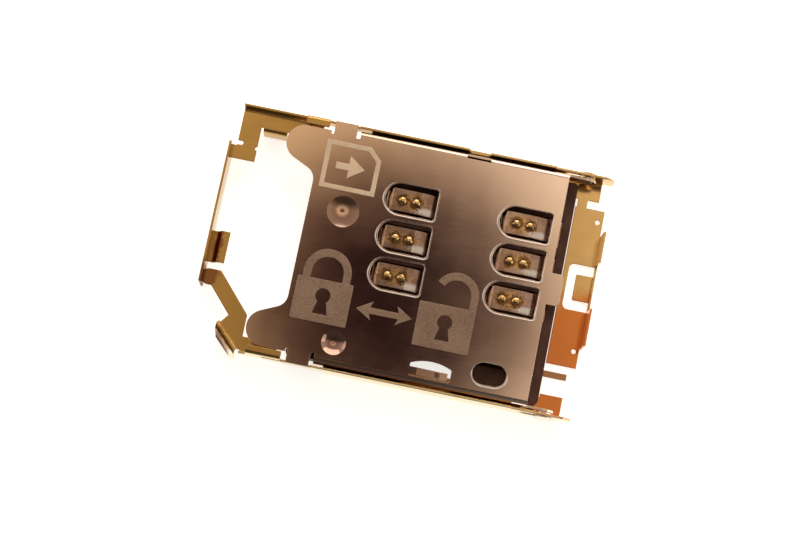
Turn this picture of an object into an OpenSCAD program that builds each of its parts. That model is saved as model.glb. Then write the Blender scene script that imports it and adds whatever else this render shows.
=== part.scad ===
// Card holder with a lid that slides to unlock and then swings up.
// X runs along the card towards the hinge, Y across it, Z up from the board.
// The origin is on the board, under the middle of the holder.

/* [Card] */
// Length of the card that the holder takes
card_l = 25; // [24:0.1:26]
// Width of the card
card_w = 15; // [14.5:0.1:15.6]
// Thickness of the card
card_t = 0.76; // [0.6:0.02:0.9]
// Leg of the card's cut corner
card_key = 3; // [2.6:0.1:3.4]
// Gap at each end of the card
card_end_gap = 0.05; // [0.03:0.01:0.15]
// Gap at each side of the card, inside the lid
card_side_gap = 0.2; // [0.1:0.02:0.3]
// Gap between the card and the lid
card_top_gap = 0.09; // [0.05:0.01:0.2]
// Gap between the cut corner and the key wall
key_gap = 0.08; // [0.06:0.02:0.2]

/* [Contacts] */
// Pitch between the rows of contacts
row_pitch = 2.54; // [2.4:0.02:2.6]
// Pitch between the two columns of contacts
column_pitch = 7.62; // [7.2:0.02:7.8]
// First row, from the far edge of the card
row_in = 3.6; // [3.4:0.05:3.8]
// First column, from the hinge end of the card
column_in = 5; // [4.8:0.05:5.3]
// Thickness of the contact strip
spring_t = 0.12; // [0.08:0.01:0.14]
// Width of a contact at its root
contact_w = 1.75; // [1.4:0.05:1.8]
// Width of a contact at its tip
tip_w = 1.5; // [1.2:0.05:1.6]
// Height of a free contact tip above the card's seat
tip_rise = 0.7; // [0.5:0.02:0.78]
// Height of the two domes pressed up in a tip
dome_h = 0.16; // [0.1:0.01:0.18]
// Width of a dome
dome_d = 0.66; // [0.5:0.02:0.7]
// Distance between the two domes
dome_pitch = 0.93; // [0.8:0.01:1]
// Reach of a contact from its tip to its leg
reach = 2.6; // [2.4:0.05:2.65]
// Length of a contact's solder foot
foot_l = 0.8; // [0.5:0.05:1]

/* [Frame] */
// Thickness of the frame sheet
frame_t = 0.15; // [0.12:0.01:0.2]
// Height of the card's seat above the board
seat_z = 1.3; // [1.25:0.05:1.5]
// Height of the side walls
wall_h = 2.2; // [2.1:0.02:2.24]
// Height of the low walls, under the lock tabs
low_h = 2.02; // [1.9:0.02:2.05]
// Width of the strips on the board, inside the walls
strip_w = 1.35; // [1.2:0.05:1.4]
// Width of the raised shelf at the card's left end
shelf_w = 1.05; // [0.9:0.05:1.2]
// Length of the shelf's far corner, along the end of the card
corner_l = 3.6; // [3.2:0.1:4]
// Width of the shelf's far corner
corner_w = 1.35; // [1.2:0.05:1.5]
// Width of the diagonal arm at the cut corner
arm_w = 1.05; // [0.9:0.05:1.15]
// Width of the clip on the end wall
clip_w = 2.1; // [1.8:0.1:2.3]
// Width of the plate at the hinge end
plate_w = 2; // [1.8:0.05:2.1]
// Width of the notch in that plate
notch_w = 3.1; // [2.8:0.1:3.3]
// Middle of the notch, from the card's middle
notch_y = 0.85; // [0.6:0.05:1]
// Length of the strips past the plate, under the ears
pad_l = 1.5; // [1.3:0.05:1.6]
// Width of the solder pad at the near strip's end
pad_reach = 1.6; // [1.5:0.05:1.7]
// Diameter of the housing's posts
post_d = 0.5; // [0.4:0.05:0.55]
// Inner radius of the folds
fold_r = 0.12; // [0.08:0.01:0.16]
// Reach of the hooks over the lid
hook_w = 0.6; // [0.5:0.05:0.7]

/* [Lid] */
// Thickness of the lid sheet
lid_t = 0.15; // [0.12:0.01:0.2]
// Length of the lid between its ears and the hinge side
lid_l = 16.45; // [16:0.05:16.7]
// Reach of the two round ears past the lid's left edge
ear_l = 2.25; // [2:0.05:2.5]
// Radius of the ears' round ends
ear_r = 1.2; // [1.1:0.05:1.3]
// Depth of the lid's side flanges
flange_h = 0.85; // [0.7:0.05:0.9]
// Outer radius of the lid's folds
lid_r = 0.4; // [0.3:0.02:0.45]
// Length of the lid's lock tabs
tab_l = 1.5; // [1.3:0.05:1.6]
// Length of a contact window
window_l = 3.6; // [3.4:0.05:3.7]
// Width of a contact window
window_w = 2.24; // [2:0.02:2.3]
// Width of the tongue at the hinge side
tongue_w = 2.1; // [1.8:0.1:2.2]

/* [Hinge] */
// Travel of the lid between locked and unlocked
slide_l = 1.2; // [1:0.05:1.3]
// Hinge axis, from the inner face of the end wall
hinge_in = 1.65; // [1.6:0.05:1.75]
// Height of the hinge axis
hinge_z = 1.25; // [1.2:0.02:1.3]
// Diameter of the hinge pins
pin_d = 0.7; // [0.6:0.02:0.75]
// Diameter of a pin's head
head_d = 1.3; // [1.15:0.05:1.35]
// Thickness of a pin's head
head_t = 0.2; // [0.15:0.01:0.25]
// Running clearance of the pins, on the radius
pin_gap = 0.03; // [0.02:0.005:0.05]
// Gap between the lid's flanges and the frame
run_gap = 0.15; // [0.12:0.01:0.2]
// Gap between a lock tab and the hook above it
hook_gap = 0.1; // [0.08:0.01:0.15]

/* [Hidden] */
$fn = 48;

// Small gap between pieces that are seated in each other
seat_gap = 0.02;
// Left edge of the housing, from the lid's left edge
housing_in = 0.5;
// Overlap that lets two features of one piece fuse
eps = 0.01;

// Inside of the frame, and its outer faces
in_x = card_l / 2 + card_end_gap;
out_x = in_x + frame_t;
lid_y = card_w / 2 + card_side_gap + lid_t;
in_y = lid_y + run_gap;
out_y = in_y + frame_t;

// Heights of the lid's faces and of the hooks
lid_z = seat_z + card_t + card_top_gap;
lid_top = lid_z + lid_t;
hook_z = lid_top + hook_gap;

// Reach of the lid's arms, from its right edge to the hinge axis
arm_reach = 1.25;
// Lock tabs, from the lid's left edge, and the gaps beside them
tab_in = 0.7;
tab_gap = 0.35;
relief_w = 0.16;
// Length of the low step in the walls, right of the lock tabs
step_l = 0.75;
// Wall left round a pin's head and round its slot
head_gap = 0.35;
slot_wall = 0.4;

// Places along the holder, from the hinge leftwards
hinge_x = in_x - hinge_in;
lid_right = hinge_x - arm_reach;
lid_left = lid_right - lid_l;
tab_x = lid_left + tab_in;
hook_end = tab_x - tab_gap;
post_x = tab_x - slide_l - tab_gap;
tall_x = tab_x + tab_l + tab_gap / 3;
deep_x = tall_x + step_l;
flange_x = tab_x + tab_l + relief_w + 0.1;
plate_x = in_x + frame_t - plate_w - frame_t;
plate_far = card_w / 2 - 1.25;
ear_x = hinge_x - slide_l - head_d / 2 - head_gap;
ear_end = plate_x + pad_l;
ear_top = hinge_z + pin_d / 2 + slot_wall;
ear_round = 0.8;

// Contact places
columns = [card_l / 2 - column_in, card_l / 2 - column_in - column_pitch];
rows = [for (i = [0:2]) card_w / 2 - row_in - i * row_pitch];
root_z = seat_z - 0.36;
tip_z = seat_z + tip_rise - spring_t / 2;

// Housing
housing_x0 = lid_left + housing_in;
housing_x1 = plate_x - frame_t;
housing_y = card_w / 2;
housing_z0 = frame_t + seat_gap;
housing_z1 = seat_z - seat_gap;
slot_gap = 0.08;
pocket_floor = 0.2;
// Free end of a contact, inside its window, and the left end of its pocket
tip_x = 0.1 - window_l / 2;
pocket_left = slot_gap - tip_x;
core_l = 2.4;
core_w = 1.6;
post_gap = 0.05;
post_y = out_y - strip_w + post_gap + post_d / 2 + 0.1;
post_places = [deep_x + 1.2, housing_x1 - 1.4];

// Bottom of the dip in the far wall
dip_z = wall_h - 0.35;

// Cored pockets of the housing, from the card's middle
core_y = row_pitch * 1.5;

// Card-present spring
switch_y = 2.3 - card_w / 2;
switch_w = 0.8;
switch_tail_w = 0.42;
plate_near = switch_y + switch_tail_w / 2 + 0.5;

// Points on an arc about c
function arc(c, r, a0, a1, n = 6) =
    [for (i = [0:n]) c + r * [cos(a0 + (a1 - a0) * i / n), sin(a0 + (a1 - a0) * i / n)]];

function unit(v) = v / norm(v);
function left_of(v) = [-v.y, v.x];

// Direction across a path at point i, scaled so that a strip keeps its thickness round a corner
function across_at(p, i) =
    i == 0 ? left_of(unit(p[1] - p[0])) :
    i == len(p) - 1 ? left_of(unit(p[i] - p[i - 1])) :
    let (a = left_of(unit(p[i] - p[i - 1])), b = left_of(unit(p[i + 1] - p[i])))
    (a + b) / (1 + a * b);

// Outline of a strip of thickness t along the path p
function ribbon(p, t) = concat(
    [for (i = [0:len(p) - 1]) p[i] + across_at(p, i) * t / 2],
    [for (i = [len(p) - 1:-1:0]) p[i] - across_at(p, i) * t / 2]);

// Flat shape in XY, between two heights
module level(z0, z1) {
    translate([0, 0, z0]) linear_extrude(z1 - z0) children();
}

// Side view in XZ, between two places in Y
module upright(y0, y1) {
    translate([0, y1, 0]) rotate([90, 0, 0]) linear_extrude(y1 - y0) children();
}

// Section in YZ, between two places in X
module section(x0, x1) {
    translate([x0, 0, 0]) rotate([90, 0, 90]) linear_extrude(x1 - x0) children();
}

module both_sides() {
    children();
    mirror([0, 1, 0]) children();
}

// Rectangle by its corners
module span(x0, x1, y0, y1) {
    translate([x0, y0]) square([x1 - x0, y1 - y0]);
}

// Rectangle with round corners
module soft_span(x0, x1, y0, y1, r) {
    span(x0 + r, x1 - r, y0, y1);
    span(x0, x1, y0 + r, y1 - r);
    for (x = [x0 + r, x1 - r], y = [y0 + r, y1 - r]) translate([x, y]) circle(r);
}

// Obround along X, from centre to centre
module obround(x0, x1, y, r) {
    span(x0, x1, y - r, y + r);
    for (x = [x0, x1]) translate([x, y]) circle(r);
}

// Folded angle along X: a flat strip that turns up into a wall
module angle_iron(x0, x1, y_in, z0, z1) {
    t = frame_t / 2;
    corner = [out_y - t - fold_r - t, z0 + t + fold_r + t];
    section(x0, x1) polygon(ribbon(concat(
        [[y_in, z0 + t]], arc(corner, fold_r + t, -90, 0), [[out_y - t, z1]]), frame_t));
}

// Hook: the top of a wall folded inwards over the lid's tab
module hook(x0) {
    t = frame_t / 2;
    corner = [out_y - t - fold_r - t, hook_z + t - fold_r - t];
    section(x0, hook_end) polygon(ribbon(concat(
        [[out_y - t, low_h]], arc(corner, fold_r + t, 0, 90),
        [[out_y - hook_w, hook_z + t]]), frame_t));
}

// Side rail, drawn for the far side
module side_rail(x0, hook_l) {
    difference() {
        union() {
            angle_iron(x0, hook_end - 0.4, out_y - shelf_w - frame_t, seat_z - frame_t, low_h);
            angle_iron(deep_x, ear_end, out_y - strip_w, 0, wall_h);
            upright(in_y, out_y) span(ear_end - eps, out_x, 0.35, ear_top);
            upright(in_y, out_y) span(hook_end - 0.5, deep_x + eps, seat_z - frame_t, low_h);
            upright(in_y, out_y) span(tall_x, deep_x + eps, seat_z - frame_t, wall_h);
            hook(post_x - hook_l);
        }
        // The hook's free end hangs over the low wall
        upright(in_y - eps, out_y + eps) span(post_x, hook_end + eps, low_h, lid_top + 0.03);
        // Slot for the pin
        upright(in_y - eps, out_y + eps)
            obround(hinge_x - slide_l, hinge_x, hinge_z, pin_d / 2 + pin_gap);
        // The ear is lower than the wall, with a round end
        upright(in_y - strip_w, out_y + eps) {
            span(ear_x, out_x + eps, ear_top, wall_h + 1);
            difference() {
                span(out_x - ear_round, out_x + eps, ear_top - ear_round, ear_top + eps);
                translate([out_x - ear_round, ear_top - ear_round]) circle(ear_round);
            }
        }
        // Holes for the housing's posts
        for (x = post_places) translate([x, post_y, -1]) cylinder(d = post_d + 2 * post_gap, h = 2);
    }
}

// Far corner of the shelf, with its foot and the notch beside the end wall
module far_corner() {
    x0 = -in_x + 0.3;
    end_y = out_y - corner_l;
    level(seat_z - frame_t, seat_z) difference() {
        union() {
            span(x0, x0 + corner_w, end_y, out_y - frame_t - fold_r);
            span(-out_x + eps, x0 + eps, end_y, end_y + 0.9);
        }
        translate([x0, end_y + 1.1]) obround(-0.1, 0.25, 0, 0.14);
        translate([x0 + corner_w, end_y + 0.9]) circle(0.14);
    }
    // Foot folded down from the inner edge of the shelf
    foot_y = out_y - shelf_w - frame_t;
    section(x0 + corner_w + 0.15, x0 + corner_w + 1.75) polygon(ribbon(concat(
        [[foot_y + eps * 2, seat_z - frame_t / 2]],
        arc([foot_y, seat_z - frame_t - fold_r], fold_r + frame_t / 2, 90, 180),
        [[foot_y - fold_r - frame_t / 2, 0]]), frame_t));
}

// Places on the end wall at the card's left end
wall_far = out_y - corner_l + 0.9;
clip_y = -0.4;
arm_y = clip_y - clip_w - 0.5;

// End wall, standing on its edge, with the clip that holds the card's end up
module end_wall() {
    level(0, wall_h) span(-out_x, -in_x, arm_y - arm_w, wall_far);
    clip_z = seat_z - frame_t / 2;
    upright(clip_y - clip_w, clip_y) polygon(ribbon(
        [[-in_x - eps, clip_z - 0.5], [-in_x + 0.35, clip_z - 0.5],
         [-in_x + 0.65, clip_z], [-in_x + 1.15, clip_z]], frame_t));
}

// Line of the key wall's inner face, from the end wall's side to the near wall
key_off = key_gap * sqrt(2);
key_a = [-card_l / 2 + 1.7, -card_w / 2 + card_key - 1.7 - key_off];
key_l = 2.15;
key_b = key_a + [1, -1] * key_l / sqrt(2);
key_skirt = 0.7;
key_lean = 0.45;
arm_end = [-card_l / 2 + card_key + 0.3, -card_w / 2 + 2];

// Diagonal arm and pad that support the cut corner
module key_arm() {
    elbow = [-in_x + 1.1, arm_y];
    inner = [[-out_x + arm_w / 2, arm_y], elbow, arm_end];
    outer = [for (i = [2:-1:0]) inner[i] - across_at(inner, i) * arm_w];
    shoulder = outer[0] - unit(arm_end - elbow) * 0.6;
    level(seat_z - frame_t, seat_z) {
        translate([-out_x + arm_w / 2, arm_y - arm_w / 2]) circle(arm_w / 2);
        polygon(concat(inner, outer));
        polygon([arm_end + [eps, 0], shoulder, key_a, key_b, [arm_end.x + eps, key_b.y]]);
    }
    key_wall();
}

// Key wall: folded up from the arm to above the card, over, and down to the board at a slant
module key_wall() {
    t = frame_t / 2;
    r = fold_r + t;
    top = [-t - r, wall_h - t - r];
    foot_y = -key_skirt - t;
    difference() {
        translate(key_a) rotate([0, 0, -45]) difference() {
            section(0, key_l + key_lean)
                polygon(ribbon(concat([[0.3, seat_z - t], [-t, seat_z - t]], arc(top, r, 0, 165, 8),
                                      [[0.1 - key_skirt, 0.35], [-key_skirt, -frame_t]]), frame_t));
            // Both ends of the skirt lean along the wall
            level(-1, wall_h + 1) {
                polygon([[-eps, -r], [-eps, foot_y - 1], [key_lean, foot_y - 1], [key_lean, foot_y]]);
                polygon([[key_l, 1], [key_l, -r], [key_l + key_lean, foot_y], [key_l + 1, foot_y],
                         [key_l + 1, 1]]);
            }
        }
        level(0, wall_h) span(-in_x, in_x, -out_y - 2, -out_y - head_t);
        level(-1, 0) span(-in_x - 1, in_x, -out_y - 2, 0);
    }
}

// Plate, stop wall and notch at the hinge end
module hinge_plate() {
    level(0, frame_t) difference() {
        union() {
            span(plate_x, out_x - frame_t, plate_near, plate_far);
            span(plate_x + 0.1, plate_x + 0.75, plate_far - eps, out_y - strip_w + eps);
        }
        soft_span(plate_x + 0.35, out_x + 1, notch_y - notch_w / 2, notch_y + notch_w / 2, 0.35);
        translate([in_x - 0.35, plate_far - 0.8]) circle(0.16);
        translate([in_x - 0.35, plate_near + 1.1]) circle(0.16);
    }
    // Solder tab inside the notch, folded in from the foot of the stop wall
    level(0, frame_t) soft_span(in_x - 1.1, in_x + eps * 2, notch_y - 0.88, notch_y + 0.88, 0.08);
    // Stop wall, tall on both sides of the notch and low across it
    upright_end(plate_near + 1.3, notch_y - notch_w / 2, seat_z + card_t);
    upright_end(notch_y + notch_w / 2, plate_far - 1.75, seat_z + card_t);
    upright_end(notch_y - notch_w / 2 - eps, notch_y + notch_w / 2 + eps, 0.45);
    // Pad at the near strip's end
    level(0, frame_t) span(plate_x, ear_end, strip_w - out_y - eps, pad_reach - out_y);
}

module upright_end(y0, y1, z1) {
    level(0, z1) span(in_x, out_x, y0, y1);
}

module base_frame() {
    color("goldenrod") {
        difference() {
            side_rail(-in_x + 0.3, 0.35);
            upright(in_y - eps, out_y + eps) span(catch_x0 + 0.1, catch_x1 - 0.1, dip_z, wall_h + 1);
        }
        // Lip that rubs on the lid's flange and holds the lid where it is slid to
        level(dip_z - 0.15, dip_z)
            span(catch_x0 + 0.2, catch_x1 - 0.2, in_y - run_gap / 2, in_y + eps);
        mirror([0, 1, 0]) side_rail(arm_end.x, 1.1);
        far_corner();
        end_wall();
        key_arm();
        hinge_plate();
    }
}

// Pocket in the housing for one contact, with a passage for its leg
module contact_slot(w) {
    y = w / 2 + slot_gap;
    level(housing_z0 + pocket_floor, seat_z + eps) span(-pocket_left, reach - 0.25, -y, y);
    level(-eps, root_z + spring_t / 2 + seat_gap)
        span(reach - 0.3, reach + spring_t / 2 + seat_gap, -y, y);
}

module contact_housing() {
    color([0.16, 0.13, 0.12]) {
        difference() {
            level(housing_z0, housing_z1)
                soft_span(housing_x0, housing_x1, -housing_y, housing_y, 0.3);
            for (x = columns, y = rows) translate([x, y, 0]) contact_slot(contact_w);
            translate([switch_x, switch_y, 0]) contact_slot(switch_w);
            // Passage for the tail of the card-present spring
            level(0, housing_z0 + spring_t + 0.2)
                span(switch_x + reach, housing_x1 + 1, switch_y - switch_tail_w / 2 - slot_gap,
                     switch_y + switch_tail_w / 2 + slot_gap);
            // Lead-in for the card along the left edge
            upright(-housing_y - 1, housing_y + 1)
                polygon([[housing_x0 - 1, housing_z1 + 1], [housing_x0 - 1, housing_z1 - 0.4],
                         [housing_x0, housing_z1 - 0.4], [housing_x0 + 0.4, housing_z1],
                         [housing_x0 + 0.4, housing_z1 + 1]]);
            // Cored pockets, open from below
            for (x = [housing_x0 + 1, columns[1] + reach + 0.6], y = [-core_y - core_w, core_y])
                level(0, housing_z1 - 0.4) soft_span(x, x + core_l, y, y + core_w, 0.25);
            // Bay in the near edge, under the lid's spring finger
            level(0, seat_z + 1) soft_span(finger_x0 - 0.25, finger_x1 + 0.25, -housing_y - 1,
                                           -finger_y + 0.9, 0.3);
            // Sunk tracks in the seat between the two columns
            for (y = rows) level(housing_z1 - 0.15, housing_z1 + 1)
                soft_span(columns[1] + reach + 0.6, columns[0] - pocket_left - 0.4, y - 0.5, y + 0.5,
                          0.2);
        }
        // Posts through the frame's strips
        both_sides() for (x = post_places) translate([x, post_y, 0])
            cylinder(d = post_d, h = housing_z0 + 0.2);
    }
}

// Formed spring contact. Its tip is at the origin, its leg at +reach, and its foot turns to
// the left under the beam, or to the right as a tail
module spring_contact(w, w_tip, foot_w, foot_to) {
    t = spring_t / 2;
    r = leg_r;
    soft = w_tip / 5;
    flat_z = tip_z - dome_h;
    flat_x = [tip_x + curl_r * sin(curl_turn) + eps, dome_x + 0.3];
    foot_turn = foot_to < reach ? -1 : 1;
    path = concat(
        [[foot_to, t]],
        foot_turn < 0 ? arc([reach - r, t + r], r, -90, 0) : arc([reach + r, t + r], r, 270, 180),
        arc([reach - r, root_z - r], r, 0, 90),
        arc([reach - root_r, root_z + root_r], root_r, 270, 270 - rise, 5),
        arc([reach - 1.1, tip_z - 0.58], shoulder_r, 90 - rise, 90 - fall, 5),
        arc([flat_x[1], flat_z - curl_r], curl_r, 90 - fall, 90, 3),
        arc([flat_x[0], flat_z - curl_r], curl_r, 90, 90 + curl_turn, 5));
    intersection() {
        upright(-w, w) polygon(ribbon(path, spring_t));
        level(-1, tip_z + 1) {
            polygon([[reach + t + eps, w / 2], [taper[1], w / 2], [taper[0], w_tip / 2],
                     [tip_x + soft, w_tip / 2], [tip_x, w_tip / 2 - soft],
                     [tip_x, -w_tip / 2 + soft], [tip_x + soft, -w_tip / 2],
                     [taper[0], -w_tip / 2], [taper[1], -w / 2], [reach + t + eps, -w / 2]]);
            if (foot_turn > 0) span(reach, foot_to, -foot_w / 2, foot_w / 2);
        }
    }
    for (x = dome_places) translate([x, 0, 0]) dome(min(dome_d, w_tip * 0.8), flat_z);
}

// Places along a contact, from its tip: the domes, the free end and the taper
dome_x = 0.25;
dome_places = [dome_x, dome_x - dome_pitch];
taper = [reach / 2, reach / 2 + 0.45];

// Radii of a contact's bends at its leg, its root and its curled end, and the turn of the curl
leg_r = 0.14;
root_r = 0.4;
curl_r = 0.45;
curl_turn = 50;
shoulder_r = 0.2;

// Slopes of a contact, up from its root and then on to its flat tip
rise = 57;
fall = 12;

// Dome pressed up from the strip, about its own middle
module dome(d, z) {
    top = tip_z + spring_t / 2;
    ball = ball_r(d / 2, top - z - spring_t / 2);
    rim = acos(d / 2 / ball);
    rotate_extrude($fn = 32)
        polygon(concat([[0, z], [d / 2, z]], arc([0, top - ball], ball, rim, 90, 5)));
}

module contact(column, row) {
    color("silver") translate([columns[column], rows[row], 0])
        spring_contact(contact_w, tip_w, contact_w, reach - foot_l);
}

switch_x = housing_x1 - reach - head_gap;
module switch_spring() {
    color("sienna") translate([switch_x, switch_y, 0])
        spring_contact(switch_w, switch_w * 0.7, switch_tail_w, ear_end - switch_x);
}

// Stepped pin, drawn for the far side: journal in the lid, collar, shank in the slot, head
module hinge_pin() {
    translate([hinge_x, 0, hinge_z]) rotate([-90, 0, 0]) {
        translate([0, 0, lid_y - lid_t]) cylinder(d = pin_d, h = out_y + head_t - lid_y + lid_t);
        translate([0, 0, lid_y + pin_gap]) cylinder(d = head_d * 0.8, h = run_gap - 2 * pin_gap);
        translate([0, 0, out_y + pin_gap]) {
            cylinder(d = head_d, h = head_t * 0.5 - pin_gap);
            translate([0, 0, head_t * 0.5 - pin_gap])
                cylinder(d1 = head_d, d2 = head_d - 0.3, h = head_t * 0.5);
        }
    }
}

// D-shaped window about a contact tip, round towards the left
module window_shape(inset) {
    r = window_w / 2 - inset;
    x0 = -window_l / 2 - 0.12 + window_w / 2;
    x1 = window_l / 2 - 0.12 - inset;
    soft = 0.3 - inset;
    translate([x0, 0]) circle(r);
    span(x0, x1 - soft, -r, r);
    span(x1 - soft - eps, x1, -r + soft, r - soft);
    for (y = [-r + soft, r - soft]) translate([x1 - soft, y]) circle(soft);
}

// Places on the lid
finger_l = 2.7;
catch_l = 1.6;
dish_a = [lid_left + 2.35, 2.27];
dish_b = [lid_left + 3.5, -6.3];
hole_x = columns[0] - 0.95;
hole_y = dish_b.y;
hole_r = 0.75;
dish_r = 1.05;
rivet_r = 0.8;
finger_x0 = dish_b.x + 5.1;
finger_x1 = finger_x0 + finger_l;
finger_y = card_w / 2 - 1;
finger_mid = -finger_y - 0.53;
finger_w = 0.5;
finger_bow = 0.25;
catch_x0 = finger_x0 + 1;
catch_x1 = catch_x0 + catch_l;
flat_y = lid_y - lid_r;
ear_y = flat_y + 0.02;
ear_slope = 65;
neck_r = 0.9;

// Edge of one ear, from its top at the side of the lid round to the lid's left edge
function ear_edge() =
    let (c = [lid_left - ear_l + ear_r, ear_y - ear_r],
         n = [cos(180 + ear_slope), sin(180 + ear_slope)],
         end = c + ear_r * n,
         neck = [lid_left - neck_r, end.y + (neck_r - n.x * (lid_left - neck_r - end.x)) / n.y])
    concat(arc(c, ear_r, 90, 180 + ear_slope, 12), arc(neck, neck_r, ear_slope, 0, 6));

// Outline of the lid's flat, without its tabs
module lid_outline() {
    edge = ear_edge();
    polygon(concat([[lid_right, ear_y]], edge,
                   [for (i = [len(edge) - 1:-1:0]) [edge[i].x, -edge[i].y]],
                   [[lid_right, -ear_y]]));
}

// Radius of the ball that presses a hollow of radius r and depth h
function ball_r(r, h) = (r * r + h * h) / (2 * h);

bow_r = ball_r(finger_l / 2 - 0.1, finger_bow);

// Round hollow dish in the sheet, with its outer side standing out below
module dish_cut(r, h) {
    translate([0, 0, lid_top - h + ball_r(r, h)]) sphere(ball_r(r, h), $fn = 96);
}
module dish_shell(r, h) {
    intersection() {
        translate([0, 0, lid_top - h + ball_r(r, h)]) sphere(ball_r(r, h) + lid_t * 0.8, $fn = 96);
        level(lid_z - h, lid_z + lid_t / 2) circle(r + 0.1);
    }
}

// Fold and flange along one side of the lid
module lid_flange() {
    t = lid_t / 2;
    r = lid_r - t;
    section(flange_x, lid_right) polygon(ribbon(concat(
        [[flat_y - 0.1, lid_top - t]], arc([lid_y - lid_r, lid_top - lid_r], r, 90, 0),
        [[lid_y - t, lid_z - flange_h + lid_t]]), lid_t));
}

// Arm that carries the pin, in the plane of the flange
module lid_arm() {
    r = 0.6;
    low = lid_z - flange_h + lid_t;
    upright(lid_y - lid_t, lid_y) difference() {
        union() {
            translate([hinge_x, hinge_z]) circle(r);
            polygon([[lid_right - 1, low], [lid_right - 0.2, low], [hinge_x - 0.45, hinge_z - 0.4],
                     [hinge_x, hinge_z], [hinge_x + 0.3, hinge_z + 0.52],
                     [lid_right + 0.1, lid_top - lid_r], [lid_right - 1, lid_top - lid_r]]);
        }
        translate([hinge_x, hinge_z]) circle(d = pin_d + 2 * pin_gap);
    }
}

// Finger that leaves the lid at the left end of its window and presses on the card
module spring_finger() {
    t = lid_t / 2;
    difference() {
        union() {
            upright(finger_mid - finger_w / 2, finger_mid + finger_w / 2) polygon(ribbon(
                [[finger_x0 - 0.05, lid_z + t], [finger_x0 + 0.5, lid_z + t],
                 [finger_x1 - 0.75, lid_z + t - 0.2], [finger_x1 - 0.2, lid_z + t - 0.12]], lid_t));
            translate([finger_x1 - 0.9, finger_mid, lid_z - 0.22]) cylinder(r = 0.24, h = 0.2);
        }
        translate([finger_x1 - 0.9, finger_mid, lid_z - 0.14]) cylinder(r = 0.16, h = 1);
    }
}

module lid() {
    color("tan") difference() {
        union() {
            level(lid_z, lid_top) {
                difference() {
                    lid_outline();
                    // Sides of the sheet make way for the folds
                    for (s = [-1, 1]) span(flange_x - 0.2, flange_x, s * flat_y - 0.25,
                                           s * flat_y + 0.25);
                }
                // Lock tabs
                for (s = [0, 1]) mirror([0, s]) span(tab_x, tab_x + tab_l, ear_y - 0.5, out_y);
                // Tongue at the hinge side
                soft_span(lid_right - 1, lid_right + 0.85, -tongue_w / 2, tongue_w / 2, 0.3);
            }
            both_sides() {
                lid_flange();
                lid_arm();
            }
            // Drawn lips of the windows and of the long hole
            for (x = columns, y = rows) translate([x, y]) level(lid_z - 0.1, lid_z + eps)
                difference() {
                    window_shape(-0.04);
                    window_shape(0.06);
                }
            level(lid_z - 0.12, lid_z + eps) difference() {
                obround(hole_x, hole_x + hole_r, hole_y, hole_r + 0.12);
                obround(hole_x, hole_x + hole_r, hole_y, hole_r);
            }
            translate(dish_a) dish_shell(dish_r, 0.16);
            translate(dish_b) dish_shell(rivet_r, 0.22);
        }
        // Reliefs beside the lock tabs
        for (s = [0, 1]) mirror([0, s]) for (x = [tab_x - relief_w, tab_x + tab_l])
            level(lid_z - 1, lid_top + 1) span(x, x + relief_w, ear_y - 0.22, out_y);
        for (x = columns, y = rows) translate([x, y]) level(lid_z - 1, lid_top + 1)
            window_shape(0.06);
        level(lid_z - 1, lid_top + 1) obround(hole_x, hole_x + hole_r, hole_y, hole_r);
        translate(dish_a) dish_cut(dish_r, 0.16);
        translate(dish_b) dish_cut(rivet_r, 0.22);
        // Window in the near edge, round the spring finger, with a bowed far side
        level(lid_z - 1, lid_top + 1) {
            soft_span(finger_x0, finger_x1, -flat_y + 0.08, -finger_y, 0.12);
            intersection() {
                translate([(finger_x0 + finger_x1) / 2, finger_bow - finger_y - bow_r]) circle(bow_r);
                span(finger_x0 + 0.1, finger_x1 - 0.1, -finger_y - 0.1, 0);
            }
        }
        // Notch in the far fold
        level(lid_z - 0.3, lid_top + 1) span(catch_x0, catch_x1, flat_y, lid_y + 1);
    }
    color("tan") spring_finger();
}

base_frame();
contact_housing();
contact(0, 0);  // contact_supply
contact(0, 1);  // contact_reset
contact(0, 2);  // contact_clock
contact(1, 0);  // contact_ground
contact(1, 1);  // contact_program
contact(1, 2);  // contact_data
switch_spring();
color("silver") hinge_pin();  // hinge_pin_far
color("silver") mirror([0, 1, 0]) hinge_pin();  // hinge_pin_near
lid();
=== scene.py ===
"""Looks of a low card holder: a folded gold-flashed frame under a windowed lid that slides and swings."""
import logging
import math
from dataclasses import dataclass, replace
from enum import Enum
from typing import Callable, Sequence

import bpy
from mathutils import Euler, Matrix, Vector


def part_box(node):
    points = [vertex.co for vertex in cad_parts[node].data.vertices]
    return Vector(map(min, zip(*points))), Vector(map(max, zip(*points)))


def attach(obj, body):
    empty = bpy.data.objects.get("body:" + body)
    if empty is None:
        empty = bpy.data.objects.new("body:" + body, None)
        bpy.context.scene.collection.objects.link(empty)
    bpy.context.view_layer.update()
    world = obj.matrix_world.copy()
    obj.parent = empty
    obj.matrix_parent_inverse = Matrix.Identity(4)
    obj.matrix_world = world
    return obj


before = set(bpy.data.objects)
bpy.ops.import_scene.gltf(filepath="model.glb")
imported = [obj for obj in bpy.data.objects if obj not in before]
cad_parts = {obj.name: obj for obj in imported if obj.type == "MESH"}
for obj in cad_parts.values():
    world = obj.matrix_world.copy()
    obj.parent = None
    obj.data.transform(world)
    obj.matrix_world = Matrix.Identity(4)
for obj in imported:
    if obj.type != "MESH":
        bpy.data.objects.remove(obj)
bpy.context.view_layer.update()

MM = 0.001
log = logging.getLogger("card_holder")

Colour = tuple[float, float, float]
Point = tuple[float, float]
Point3 = tuple[float, float, float]
Spot = tuple[Point, Point]
Socket = bpy.types.NodeSocket

WHITE: Colour = (1.0, 1.0, 1.0)
ONE_MM: Point = (1.0, 1.0)
NOISE_ROUGHNESS = 0.55
SEED_SHIFT: Point3 = (7.3, 3.1, 5.7)
BEVEL_SAMPLES = 4
EDGE_TURN: Point = (0.72, 0.98)
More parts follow.
